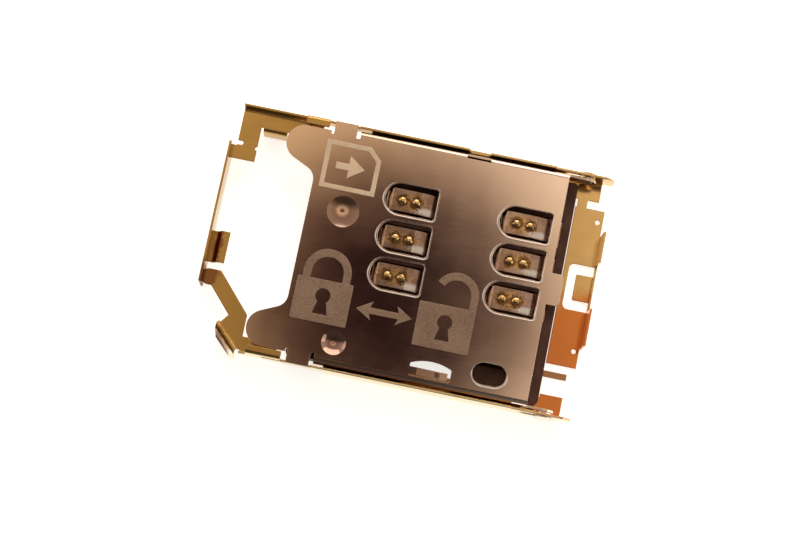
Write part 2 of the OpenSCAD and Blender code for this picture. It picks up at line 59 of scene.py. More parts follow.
# The mix node has a set of sockets for each type of value: these are the ones for colours.
MIX_COLOURS = (6, 7)
MIX_RESULT = 2


class Body(Enum):
    """The moving bodies of the holder."""

    BASE = "base"
    PINS = "pins"
    LID = "lid"


class Grain(Enum):
    """Direction of a sheet's rolling or brushing marks: lines per millimetre along X, Y and Z."""

    ALONG_X = (0.5, 14.0, 14.0)
    TURNED = (9.0, 60.0, 9.0)
    NONE = (9.0, 9.0, 9.0)


class Nodes:
    """A node tree, with short calls for the nodes that materials and surroundings share."""

    def __init__(self, tree: bpy.types.NodeTree) -> None:
        """Takes over a node tree."""
        self.tree = tree

    def add(self, kind: str, **settings: object) -> bpy.types.Node:
        """Adds a node.

        Args:
            kind: Type of the node, as bpy names it.
            settings: Attributes to set on it.

        Returns:
            The new node.
        """
        node = self.tree.nodes.new(kind)
        for key, value in settings.items():
            setattr(node, key, value)
        return node

    def link(self, source: Socket, target: Socket) -> None:
        """Joins two sockets."""
        self.tree.links.new(source, target)

    def give(self, target: Socket, value: Socket | object) -> None:
        """Gives an input a socket to follow or a value to keep.

        Args:
            target: The input.
            value: A socket to link, or a value to set.
        """
        if isinstance(value, bpy.types.NodeSocket):
            self.link(value, target)
        else:
            target.default_value = value

    def feed(self, node: bpy.types.Node, **inputs: object) -> bpy.types.Node:
        """Sets a node's inputs, by name with underscores for spaces.

        Args:
            node: The node to feed.
            inputs: A socket to link or a value to set, for each input.

        Returns:
            The same node.
        """
        for key, value in inputs.items():
            self.give(node.inputs[key.replace("_", " ")], value)
        return node

    def spread(self, value: Socket, low: float, high: float, start: float = 0.3,
               end: float = 0.7) -> Socket:
        """Maps the range from start to end of a value smoothly to the range from low to high.

        Args:
            value: Value to map.
            low: Result at the start.
            high: Result at the end.
            start: Lowest value taken.
            end: Highest value taken.

        Returns:
            The mapped value's socket.
        """
        node = self.add("ShaderNodeMapRange", interpolation_type="SMOOTHSTEP")
        self.feed(node, Value=value, From_Min=start, From_Max=end, To_Min=low, To_Max=high)
        return node.outputs["Result"]

    def swing(self, noise: Socket, reach: float) -> Socket:
        """Returns noise as a swing to both sides of 0, up to the reach."""
        return self.spread(noise, -reach, reach)

    def mixed(self, factor: Socket, first: Colour | Socket, second: Colour | Socket) -> Socket:
        """Mixes two colours.

        Args:
            factor: 0 for the first colour, 1 for the second.
            first: A colour or a colour socket.
            second: A colour or a colour socket.

        Returns:
            The mixed colour's socket.
        """
        node = self.add("ShaderNodeMix", data_type="RGBA")
        self.link(factor, node.inputs["Factor"])
        for index, value in zip(MIX_COLOURS, (first, second)):
            is_socket = isinstance(value, bpy.types.NodeSocket)
            self.give(node.inputs[index], value if is_socket else (*value, 1.0))
        return node.outputs[MIX_RESULT]

    def maths(self, operation: str, first: Socket | float, second: Socket | float = 0.0) -> Socket:
        """Works out a sum, product or other simple result of one or two values.

        Args:
            operation: The operation, as bpy names it.
            first: First value.
            second: Second value, where the operation takes two.

        Returns:
            The result's socket.
        """
        node = self.add("ShaderNodeMath", operation=operation)
        self.give(node.inputs[0], first)
        self.give(node.inputs[1], second)
        return node.outputs["Value"]

    def both(self, first: Socket, second: Socket | float) -> Socket:
        """Returns the product of two values, which keeps what two masks share."""
        return self.maths("MULTIPLY", first, second)


class Graph(Nodes):
    """A material's node tree, with its place on the object in millimetres."""

    def __init__(self, name: str) -> None:
        """Starts a material with one Principled shader.

        Args:
            name: Name of the material.
        """
        self.material = bpy.data.materials.new(name)
        self.material.use_nodes = True
        super().__init__(self.material.node_tree)
        self.shader = self.tree.nodes["Principled BSDF"]
        coordinates = self.add("ShaderNodeTexCoord")
        self.place = self.scaled(coordinates.outputs["Object"], (1 / MM,) * 3)

    def scaled(self, vector: Socket, scale: Sequence[float]) -> Socket:
        """Multiplies each axis of a vector by its own factor.

        Args:
            vector: The vector to scale.
            scale: Factors along X, Y and Z.

        Returns:
            The scaled vector's socket.
        """
        node = self.add("ShaderNodeVectorMath", operation="MULTIPLY")
        self.link(vector, node.inputs[0])
        node.inputs[1].default_value = tuple(scale)
        return node.outputs["Vector"]

    def noise(self, scale: float | Sequence[float], detail: float = 3.0, seed: float = 0.0) -> Socket:
        """Returns noise from 0 to 1 over the object's own coordinates.

        Args:
            scale: Features per millimetre, for all axes or along X, Y and Z.
            detail: Number of finer layers.
            seed: Shift that makes one pattern differ from the next.

        Returns:
            The noise value's socket.
        """
        scales = (scale,) * 3 if isinstance(scale, float) else scale
        moved = self.add("ShaderNodeVectorMath", operation="ADD")
        self.link(self.scaled(self.place, scales), moved.inputs[0])
        moved.inputs[1].default_value = tuple(seed * shift for shift in SEED_SHIFT)
        node = self.add("ShaderNodeTexNoise", noise_dimensions="3D")
        self.feed(node, Vector=moved.outputs["Vector"], Scale=1.0, Detail=detail,
                  Roughness=NOISE_ROUGHNESS)
        return node.outputs["Fac"]

    def axis(self, name: str) -> Socket:
        """Reads one coordinate of the object's own place.

        Args:
            name: X, Y or Z.

        Returns:
            The coordinate's socket, in millimetres.
        """
        node = self.add("ShaderNodeSeparateXYZ")
        self.link(self.place, node.inputs["Vector"])
        return node.outputs[name]

    def distance(self, place: Point, half: Point = ONE_MM) -> Socket:
        """Measures how far a spot lies from a place on the board, seen from above.

        Args:
            place: X and Y of the place, in millimetres.
            half: Distances along X and Y that count as 1.

        Returns:
            The distance's socket.
        """
        squares = []
        for name, middle, size in zip("XY", place, half):
            off = self.maths("DIVIDE", self.maths("SUBTRACT", self.axis(name), middle), size)
            squares.append(self.both(off, off))
        return self.maths("SQRT", self.maths("ADD", *squares))

    def edges(self, radius_mm: float) -> tuple[Socket, Socket]:
        """Rounds the sharp edges of a sheet in its shading.

        Args:
            radius_mm: Radius of the rounding.

        Returns:
            The rounded normal, and a mask that is 1 on the edges.
        """
        bevel = self.feed(self.add("ShaderNodeBevel", samples=BEVEL_SAMPLES), Radius=radius_mm * MM)
        plain = self.add("ShaderNodeNewGeometry")
        dot = self.add("ShaderNodeVectorMath", operation="DOT_PRODUCT")
        self.link(bevel.outputs["Normal"], dot.inputs[0])
        self.link(plain.outputs["Normal"], dot.inputs[1])
        mask = self.spread(dot.outputs["Value"], 1.0, 0.0, *EDGE_TURN)
        return bevel.outputs["Normal"], mask

    def bump(self, height: Socket, strength: float, depth_mm: float, normal: Socket) -> Socket:
        """Raises a fine relief in the shading.

        Args:
            height: Height of the relief, from 0 to 1.
            strength: Share of the relief that shows.
            depth_mm: Depth of the relief.
            normal: Normal that the relief stands on.

        Returns:
            The new normal's socket.
        """
        node = self.feed(self.add("ShaderNodeBump"), Strength=strength, Distance=depth_mm * MM,
                         Height=height, Normal=normal)
        return node.outputs["Normal"]


@dataclass(frozen=True)
class MetalFinish:
    """A sheet or wire metal: base colour, patches, rolling marks, abraded edges and painted edge shade."""

    name: str
    base: Colour
    patch: Colour
    # Colour of streaks and abraded edges; on the gold-flashed sheet it is painted dark reflection along
    # its edges.
    wear_and_edge_shade: Colour
    roughness: float = 0.3
    roughness_spread: float = 0.03
    patch_scale: float = 0.12
    smudge_scale: float = 0.35
    nick_scale: float = 6.0
    nick_least: float = 0.35
    streaks: float = 0.05
    streak_range: Point = (0.25, 0.75)
    grain: Grain = Grain.ALONG_X
    grain_roughness: float = 0.006
    grain_strength: float = 0.35
    grain_depth_mm: float = 0.0005
    edge_mm: float = 0.03
    edge_wear_and_shade_share: float = 0.7
    seed: float = 0.0

    def colour(self, graph: Graph) -> Socket:
        """Returns the metal's colour before wear: the base with soft patches of another shade."""
        patches = graph.spread(graph.noise(self.patch_scale, 4.0, self.seed), 0.0, 1.0)
        return graph.mixed(patches, self.base, self.patch)

    def sheen(self, graph: Graph) -> Socket | tuple[float, ...]:
        """Returns the colour of reflections at a flat angle: white on clean metal."""
        return (*WHITE, 1.0)

    def material(self) -> bpy.types.Material:
        """Builds the material.

        Returns:
            The finished material.
        """
        graph = Graph(self.name)
        lines = graph.noise(self.grain.value, 2.0, self.seed + 1)
        smudges = graph.noise(self.smudge_scale, 3.0, self.seed + 2)
        normal, edge = graph.edges(self.edge_mm)
        nicks = graph.spread(graph.noise(self.nick_scale, 3.0, self.seed + 3), self.nick_least, 1.0)
        # Edge mask: abraded edges, and painted dark reflection on the gold-flashed sheet.
        wear_and_edge_shade = graph.both(graph.both(edge, nicks), self.edge_wear_and_shade_share)
        streaks = graph.spread(lines, 0.0, self.streaks, *self.streak_range)
        toned = graph.mixed(streaks, self.colour(graph), self.wear_and_edge_shade)
        rough = graph.maths("ADD", graph.swing(smudges, self.roughness_spread), self.roughness)
        rough = graph.maths("ADD", rough, graph.swing(lines, self.grain_roughness))
        relief = graph.bump(lines, self.grain_strength, self.grain_depth_mm, normal)
        graph.feed(graph.shader, Base_Color=graph.mixed(wear_and_edge_shade, toned, self.wear_and_edge_shade), Metallic=1.0,
                   Specular_Tint=self.sheen(graph), Roughness=rough, Normal=relief)
        return graph.material


@dataclass(frozen=True)
class LidFinish(MetalFinish):
    """Rolled stainless sheet with painted reflections: lighter to the left, and dark towards one place on
    it.
    """

    # Painted reflection: the lighter brown the sheet takes towards its left.
    left: Colour = (0.76, 0.53, 0.35)
    painted_light_x_mm: Point = (-8.0, 8.0)
    # Painted dark reflection, darkest at one place on the lid and fading with distance.
    painted_dark_reflection: Colour = (0.36, 0.20, 0.165)
    painted_dark_reflection_at: Point = (-1.2, -3.0)
    painted_dark_reflection_range_mm: Point = (0.5, 11.5)
    wander_scale: float = 0.16
    wander_mm: float = 1.0

    def colour(self, graph: Graph) -> Socket:
        """Colours the sheet: a lighter painted reflection to the left, pinkish to the right, and a soft
        painted dark reflection.

        Args:
            graph: The material's nodes.

        Returns:
            The colour's socket.
        """
        # Share of the lighter painted reflection, from the left.
        painted_left_light = graph.spread(graph.axis("X"), 1.0, 0.0, *self.painted_light_x_mm)
        plain = graph.mixed(painted_left_light, super().colour(graph), self.left)
        wander = graph.swing(graph.noise(self.wander_scale, 2.0, self.seed + 5), self.wander_mm)
        # Distance from the middle of the painted dark reflection, with a wandering edge.
        away = graph.maths("ADD", graph.distance(self.painted_dark_reflection_at), wander)
        depth = graph.spread(away, 1.0, 0.0, *self.painted_dark_reflection_range_mm)
        return graph.mixed(depth, plain, self.painted_dark_reflection)


@dataclass(frozen=True)
class LipFinish(MetalFinish):
    """Drawn lip of an opening: pale where it is rolled over, with painted shade where it dips into the
    hole.
    """

    # Painted shade: dark brown where the lip dips into the hole.
    inner: Colour = (0.13, 0.065, 0.05)
    painted_shade_range_mm: Point = (-0.1, -0.06)
    top_mm: float = 0.0

    def colour(self, graph: Graph) -> Socket:
        """Colours the lip, with painted shade just under the sheet's face.

        Args:
            graph: The material's nodes.

        Returns:
            The colour's socket.
        """
        low, high = (self.top_mm + below for below in self.painted_shade_range_mm)
        depth = graph.spread(graph.axis("Z"), 1.0, 0.0, low, high)
        return graph.mixed(depth, super().colour(graph), self.inner)


@dataclass(frozen=True)
class PlatedContactFinish(MetalFinish):
    """Nickel-plated spring strip with a patch of gold round the two domes of its tip, a painted highlight
    and painted shade rings.
    """

    centre: Point = (0.0, 0.0)
    domes: Point = (0.25, -0.68)
    gold: Colour = (0.80, 0.50, 0.20)
    gold_half_mm: Point = (0.95, 0.5)
    gold_edge: Point = (0.75, 1.15)
    # Painted shade in the rings round the feet of the domes.
    painted_light_tone: Colour = (0.20, 0.085, 0.03)
    ring_inner_mm: Point = (0.14, 0.27)
    ring_outer_mm: Point = (0.36, 0.52)
    ring_shade_depth: float = 0.85
    ring_ragged: float = 0.25
    # Painted highlight: a pale stripe on the near side of the beam, where light glances off it.
    painted_highlight: Colour = (1.0, 0.96, 0.90)
    painted_highlight_at: Point = (0.95, -0.48)
    painted_highlight_half_mm: Point = (1.0, 0.27)
    painted_highlight_edge: Point = (0.25, 1.3)
    painted_highlight_ragged: float = 0.4
    ragged_scale: float = 4.5
    ragged: float = 0.5

    def colour(self, graph: Graph) -> Socket:
        """Colours the strip: plated metal with a painted highlight stripe, ragged gold round the domes,
        painted shade rings at their feet.

        Args:
            graph: The material's nodes.

        Returns:
            The colour's socket.
        """
        ragged = graph.swing(graph.noise(self.ragged_scale, 4.0, self.seed + 4), self.ragged)
        x, y = self.centre
        patch = graph.maths("ADD", graph.distance((x + sum(self.domes) / 2, y), self.gold_half_mm), ragged)
        # Where the painted highlight stripe lies.
        highlight_middle = (x + self.painted_highlight_at[0], y + self.painted_highlight_at[1])
        highlight_reach = graph.maths("ADD", graph.distance(highlight_middle, self.painted_highlight_half_mm),
                             graph.both(ragged, self.painted_highlight_ragged))
        painted_highlight = graph.spread(highlight_reach, 1.0, 0.0, *self.painted_highlight_edge)
        nickel_with_highlight = graph.mixed(painted_highlight, super().colour(graph), self.painted_highlight)
        plated = graph.mixed(graph.spread(patch, 1.0, 0.0, *self.gold_edge), nickel_with_highlight, self.gold)
        # Painted shade: dark rings round the feet of the domes.
        rings = [graph.distance((x + along, y)) for along in self.domes]
        ring = graph.maths("ADD", graph.maths("MINIMUM", *rings), graph.both(ragged, self.ring_ragged))
        inner = graph.spread(ring, 0.0, 1.0, *self.ring_inner_mm)
        outer = graph.spread(ring, 1.0, 0.0, *self.ring_outer_mm)
        painted_ring_shade = graph.both(graph.both(inner, outer), self.ring_shade_depth)
        return graph.mixed(painted_ring_shade, plated, self.painted_light_tone)


@dataclass(frozen=True)
class PlatedSheetFinish(MetalFinish):
    """Gold-flashed sheet that turns orange at the near end of the hinge plate, with painted shade to the
    left and in spots, and a painted reflection on the near wall's outer face.
    """

    # Painted shade: the darker yellow-brown the sheet takes towards its left.
    left: Colour = (0.55, 0.33, 0.10)
    painted_light_x_mm: Point = (-9.0, 9.0)
    # Painted reflection: the pale tone of the near wall's outer face.
    painted_light_tone: Colour = (1.0, 0.88, 0.56)
    painted_flank_y_mm: Point = (-8.2, -7.95)
    cast: Colour = (0.80, 0.27, 0.07)
    cast_x_mm: Point = (9.9, 10.6)
    cast_y_mm: Point = (-0.6, 1.2)
    wander_scale: float = 0.5
    wander_mm: float = 0.8
    # Painted shade: dark brown spots at the near-left corner and on the left wall, which darken
    # reflections too.
    painted_dark: Colour = (0.25, 0.09, 0.035)
    painted_dark_spots: tuple[Spot, ...] = (((-10.95, -7.75), (1.0, 1.1)), ((-12.4, -3.5), (1.1, 0.9)),
                               ((-12.1, -1.5), (0.4, 1.6)))
    painted_dark_edge: Point = (0.5, 1.1)
    painted_dark_depth: float = 0.85
    ragged_scale: float = 1.6
    ragged: float = 0.25

    def painted_darkness(self, graph: Graph) -> Socket:
        """Finds how much painted shade the sheet has: most at the middle of a spot, 0 away from them all.

        Args:
            graph: The material's nodes.

        Returns:
            The mask's socket.
        """
        ragged = graph.swing(graph.noise(self.ragged_scale, 3.0, self.seed + 6), self.ragged)
        near = graph.distance(*self.painted_dark_spots[0])
        for dark_spot in self.painted_dark_spots[1:]:
            near = graph.maths("MINIMUM", near, graph.distance(*dark_spot))
        return graph.spread(graph.maths("ADD", near, ragged), self.painted_dark_depth, 0.0, *self.painted_dark_edge)

    def sheen(self, graph: Graph) -> Socket | tuple[float, ...]:
        """Returns white, and brown on the spots of painted shade, which darkens their reflections too."""
        return graph.mixed(self.painted_darkness(graph), WHITE, self.painted_dark)

    def colour(self, graph: Graph) -> Socket:
        """Colours the sheet: painted shade in yellow-brown to the left, orange at its right, a pale
        painted reflection on the near wall's outer face, and spots of painted shade.

        Args:
            graph: The material's nodes.

        Returns:
            The colour's socket.
        """
        wander = graph.swing(graph.noise(self.wander_scale, 2.0, self.seed + 5), self.wander_mm)
        along = graph.spread(graph.axis("X"), 0.0, 1.0, *self.cast_x_mm)
        across = graph.spread(graph.maths("ADD", graph.axis("Y"), wander), 1.0, 0.0, *self.cast_y_mm)
        # Share of the painted shade, from the left.
        painted_left_shade = graph.spread(graph.axis("X"), 1.0, 0.0, *self.painted_light_x_mm)
        plain = graph.mixed(painted_left_shade, super().colour(graph), self.left)
        cast = graph.mixed(graph.both(along, across), plain, self.cast)
        # Painted reflection on the near wall's outer face.
        painted_flank = graph.spread(graph.axis("Y"), 1.0, 0.0, *self.painted_flank_y_mm)
        cast = graph.mixed(painted_flank, cast, self.painted_light_tone)
        # Spots of painted shade on top.
        return graph.mixed(self.painted_darkness(graph), cast, self.painted_dark)


@dataclass(frozen=True)
class MouldedFinish:
    """Dark moulded plastic with a fine spark-eroded grain."""

    name: str = "moulded_housing"
    base: Colour = (0.085, 0.034, 0.022)
    dust: Colour = (0.18, 0.09, 0.058)
    dust_scale: float = 0.8
    dust_cover: float = 0.6
    roughness: float = 0.5
    reflectance: float = 0.2
    grain_scale: float = 16.0
    grain_mm: float = 0.006
    grain_strength: float = 0.4
    grain_roughness: float = 0.06
    edge_mm: float = 0.04

    def material(self) -> bpy.types.Material:
        """Builds the material.

        Returns:
            The finished material.
        """
        graph = Graph(self.name)
        grain = graph.noise(self.grain_scale, 4.0)
        cloud = graph.spread(graph.noise(self.dust_scale, 4.0, 1.0), 0.0, self.dust_cover)
        normal, edge = graph.edges(self.edge_mm)
        relief = graph.bump(grain, self.grain_strength, self.grain_mm, normal)
        colour = graph.mixed(graph.maths("MAXIMUM", edge, cloud), self.base, self.dust)
        rough = graph.maths("ADD", graph.swing(grain, self.grain_roughness), self.roughness)
        graph.feed(graph.shader, Base_Color=colour, Roughness=rough,
                   Specular_IOR_Level=self.reflectance, Normal=relief)
        return graph.material


@dataclass(frozen=True)
class StageFinish:
    """Plain white floor that keeps a soft shadow and shows white to the camera and in the metal."""

    name: str = "stage_white"
    paint: Colour = (0.9, 0.9, 0.89)
    mottle_scale: float = 0.02
    mottle_shade: float = 0.985
    roughness: float = 0.9
    glow: Colour = (1.0, 0.975, 0.93)
    lift: float = 0.8

    def material(self) -> bpy.types.Material:
        """Builds the material.

        Returns:
            The floor's material.
        """
        graph = Graph(self.name)
        paths = graph.add("ShaderNodeLightPath")
        seen = graph.maths("MAXIMUM", paths.outputs["Is Camera Ray"], paths.outputs["Is Glossy Ray"])
        seen = graph.maths("MAXIMUM", seen, paths.outputs["Is Transmission Ray"])
        mottle = graph.spread(graph.noise(self.mottle_scale, 2.0), 0.0, 1.0)
        darker = tuple(self.mottle_shade * channel for channel in self.paint)
        graph.feed(graph.shader, Base_Color=graph.mixed(mottle, self.paint, darker),
                   Roughness=self.roughness, Emission_Color=(*self.glow, 1.0),
                   Emission_Strength=graph.both(seen, self.lift))
        return graph.material


@dataclass(frozen=True)
class EtchedFinish(MetalFinish):
    """Sign etched into a sheet: matt and frosted, with a paler cut edge."""

    frost_scale: float = 22.0
    frost_mm: float = 0.004
    frost_strength: float = 0.5
    speck_scale: float = 11.0
    speck_depth: float = 0.55
    speck_range: Point = (0.4, 0.62)
    cloud_scale: float = 0.5
    cloud_depth: float = 0.2

    def material(self) -> bpy.types.Material:
        """Builds the material.

        Returns:
            The finished material.
        """
        graph = Graph(self.name)
        frost = graph.noise(self.frost_scale, 3.0, self.seed)
        specks = graph.spread(graph.noise(self.speck_scale, 4.0, self.seed + 1), 0.0, self.speck_depth,
                              *self.speck_range)
        clouds = graph.swing(graph.noise(self.cloud_scale, 3.0, self.seed + 2), self.cloud_depth)
        stains = graph.maths("ADD", specks, clouds)
        normal, edge = graph.edges(self.edge_mm)
        colour = graph.mixed(stains, self.base, self.patch)
        colour = graph.mixed(graph.both(edge, self.edge_wear_and_shade_share), colour, self.wear_and_edge_shade)
        rough = graph.maths("ADD", graph.swing(frost, self.roughness_spread), self.roughness)
        relief = graph.bump(frost, self.frost_strength, self.frost_mm, normal)
        graph.feed(graph.shader, Base_Color=colour, Metallic=1.0, Roughness=rough, Normal=relief)
        return graph.material


def mesh_piece(name: str, points_mm: Sequence[Point3], faces: Sequence[Sequence[int]],
               finish: bpy.types.Material) -> bpy.types.Object:
    """Makes a smooth-shaded mesh object from points in millimetres.

    Args:
        name: Name of the piece.
        points_mm: The mesh's points.
        faces: Point numbers of each face.
        finish: Material of the piece.

    Returns:
        The new object, linked to the scene.
    """
    mesh = bpy.data.meshes.new(name)
    mesh.from_pydata([Vector(p) * MM for p in points_mm], [], faces)
    mesh.polygons.foreach_set("use_smooth", [True] * len(mesh.polygons))
    mesh.materials.append(finish)
    piece = bpy.data.objects.new(name, mesh)
    bpy.context.scene.collection.objects.link(piece)
    return piece


def put_on(piece: bpy.types.Object, body: Body) -> bpy.types.Object:
    """Makes a piece ride on a body and logs it.

    Args:
        piece: The piece.
        body: Body that carries it.

    Returns:
        The same piece.
    """
    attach(piece, body.value)
    log.info("%s: %d faces on %s", piece.name, len(piece.data.polygons), body.value)
    return piece


def arc(centre: Point, radius: float, start: float, end: float, steps: int) -> list[Point]:
    """Returns points on an arc, with its angles in degrees.

    Args:
        centre: Middle of the arc.
        radius: Radius of the arc.
        start: Angle of the first point.
        end: Angle of the last point.
        steps: Number of stretches.

    Returns:
        The points, one more than the steps.
    """
    turns = [math.radians(start + (end - start) * i / steps) for i in range(steps + 1)]
    return [(centre[0] + radius * math.cos(a), centre[1] + radius * math.sin(a)) for a in turns]


def rolled_rim(outline: Callable[[float], list[Point]], profile: Sequence[Point], first: int,
               ) -> tuple[list[Point3], list[list[int]]]:
    """Sweeps a closed profile round an outline.

    Args:
        outline: Gives the outline's points, grown outwards by a distance.
        profile: Distance outwards and height of each of the profile's points.
        first: Number of the first new point in the mesh.

    Returns:
        The points and the faces.
    """
    rings = [[(x, y, z) for x, y in outline(grow)] for grow, z in profile]
    count, turns = len(rings[0]), len(rings)
    faces = [[first + r * count + i, first + r * count + (i + 1) % count,
              first + (r + 1) % turns * count + (i + 1) % count, first + (r + 1) % turns * count + i]
             for r in range(turns) for i in range(count)]
    return [p for ring in rings for p in ring], faces


@dataclass
class WindowLips:
    """Bright drawn lips round the six contact windows and the long hole of the lid."""

    finish: bpy.types.Material
    lid_top: float
    columns: Sequence[float]
    rows: Sequence[float]
    length: float = 3.6
    width: float = 2.24
    shift: float = -0.12
    corner: float = 0.3
    window_edge: float = -0.06
    window_lean: Point = (-0.4, -0.6)
    window_steps: int = 20
    corner_steps: int = 6
    hole_from_column: float = -0.95
    hole_y: float = -6.3
    hole_r: float = 0.75
    hole_lean: Point = (0.1, -0.7)
    hole_steps: int = 16
    thin_side: float = 0.5
    section: tuple[Point, ...] = ((0.16, -0.02), (0.15, 0.004), (0.11, 0.012), (0.06, 0.002),
                                  (0.0, -0.032), (-0.035, -0.065), (-0.045, -0.12),
                                  (-0.03, -0.2), (0.03, -0.2))

    def drawn(self, place: Point, grow: float, lean: Point) -> tuple[Point, float]:
        """Makes a lip wide at some sides and thin at the others.

        Args:
            place: Middle of the opening.
            grow: Distance outwards.
            lean: Share of the distance that moves the lip along X and Y.

        Returns:
            The moved middle and the smaller distance.
        """
        out = max(grow, 0.0)
        return (place[0] + lean[0] * out, place[1] + lean[1] * out), grow - self.thin_side * out

    def window(self, centre: Point, grow: float) -> list[Point]:
        """Draws a window's D-shaped outline.

        Args:
            centre: Middle of the window.
            grow: Distance outwards from the edge of the opening.

        Returns:
            The outline's points.
        """
        (x, y), grow = self.drawn(centre, grow, self.window_lean)
        half = self.width / 2
        left = x - self.length / 2 + self.shift + half
        right = x + self.length / 2 + self.shift - self.corner
        side = half - self.corner
        return (arc((left, y), half + grow, 90, 270, self.window_steps)
                + arc((right, y - side), self.corner + grow, -90, 0, self.corner_steps)
                + arc((right, y + side), self.corner + grow, 0, 90, self.corner_steps))

    def hole(self, grow: float) -> list[Point]:
        """Draws the long hole's outline.

        Args:
            grow: Distance outwards from the edge of the opening.

        Returns:
            The outline's points.
        """
        middle = (self.columns[0] + self.hole_from_column, self.hole_y)
        (left, y), grow = self.drawn(middle, grow, self.hole_lean)
        return (arc((left, y), self.hole_r + grow, 90, 270, self.hole_steps)
                + arc((left + self.hole_r, y), self.hole_r + grow, -90, 90, self.hole_steps))

    def profile(self, edge: float) -> list[Point]:
        """Returns the lip's section: a rounded edge that rolls from the lid's face into the hole."""
        return [(edge + out, self.lid_top + up) for out, up in self.section]

    def build(self) -> bpy.types.Object:
        """Builds all the lips as one piece on the lid.

        Returns:
            The piece.
        """
        points: list[Point3] = []
        faces: list[list[int]] = []
        outlines = [(lambda grow, c=(x, y): self.window(c, grow), self.window_edge)
                    for x in self.columns for y in self.rows]
        outlines.append((self.hole, 0.0))
        for outline, edge in outlines:
            new_points, new_faces = rolled_rim(outline, self.profile(edge), len(points))
            points += new_points
            faces += new_faces
        return put_on(mesh_piece("window_lips", points, faces, self.finish), Body.LID)


@dataclass(frozen=True)
class Padlock:
    """One padlock sign: its body, keyhole and shackle, in millimetres on the lid."""

    name: str
    left: float
    right: float
    near: float
    far: float
    key: Point
    foot_y: float
    shackle: Point
    inner_r: float
    outer_r: float
    shackle_end: float
    shackle_steps: int
    shut: bool
    key_r: float = 0.5
    key_turn: Point = (-55, 235)
    key_steps: int = 18
    neck: Point = (0.3, 0.42)

    def keyhole(self) -> list[Point]:
        """Draws the keyhole: a round head that opens into a foot.

        Returns:
            The outline's points.
        """
        x, y = self.key
        neck_y = y - self.neck[1]
        return [(x - self.neck[0], neck_y), (x - self.key_r, self.foot_y), (x + self.key_r, self.foot_y),
                (x + self.neck[0], neck_y), *arc(self.key, self.key_r, *self.key_turn, self.key_steps)]

    def bow(self) -> list[Point]:
        """Draws the shackle, with a second leg only when the padlock is shut.

        Returns:
            The outline's points.
        """
        x, inner, outer = self.shackle[0], self.inner_r, self.outer_r
        second_leg = [(x - outer, self.far), (x - inner, self.far)] if self.shut else []
        return [(x + outer, self.far), *arc(self.shackle, outer, 0, self.shackle_end, self.shackle_steps),
                *second_leg, *arc(self.shackle, inner, self.shackle_end, 0, self.shackle_steps),
                (x + inner, self.far)]


SHUT_PADLOCK = Padlock("shut", left=-6.45, right=-2.78, near=-5.22, far=-2.4, key=(-4.6, -3.45),
                       foot_y=-4.68, shackle=(-4.6, -1.9), inner_r=1.05, outer_r=1.56,
                       shackle_end=180, shackle_steps=20, shut=True)
OPEN_PADLOCK = Padlock("open", left=1.62, right=5.31, near=-5.38, far=-2.45, key=(3.46, -3.58),
                       foot_y=-4.78, shackle=(3.85, -1.66), inner_r=0.98, outer_r=1.48,
                       shackle_end=152, shackle_steps=18, shut=False)


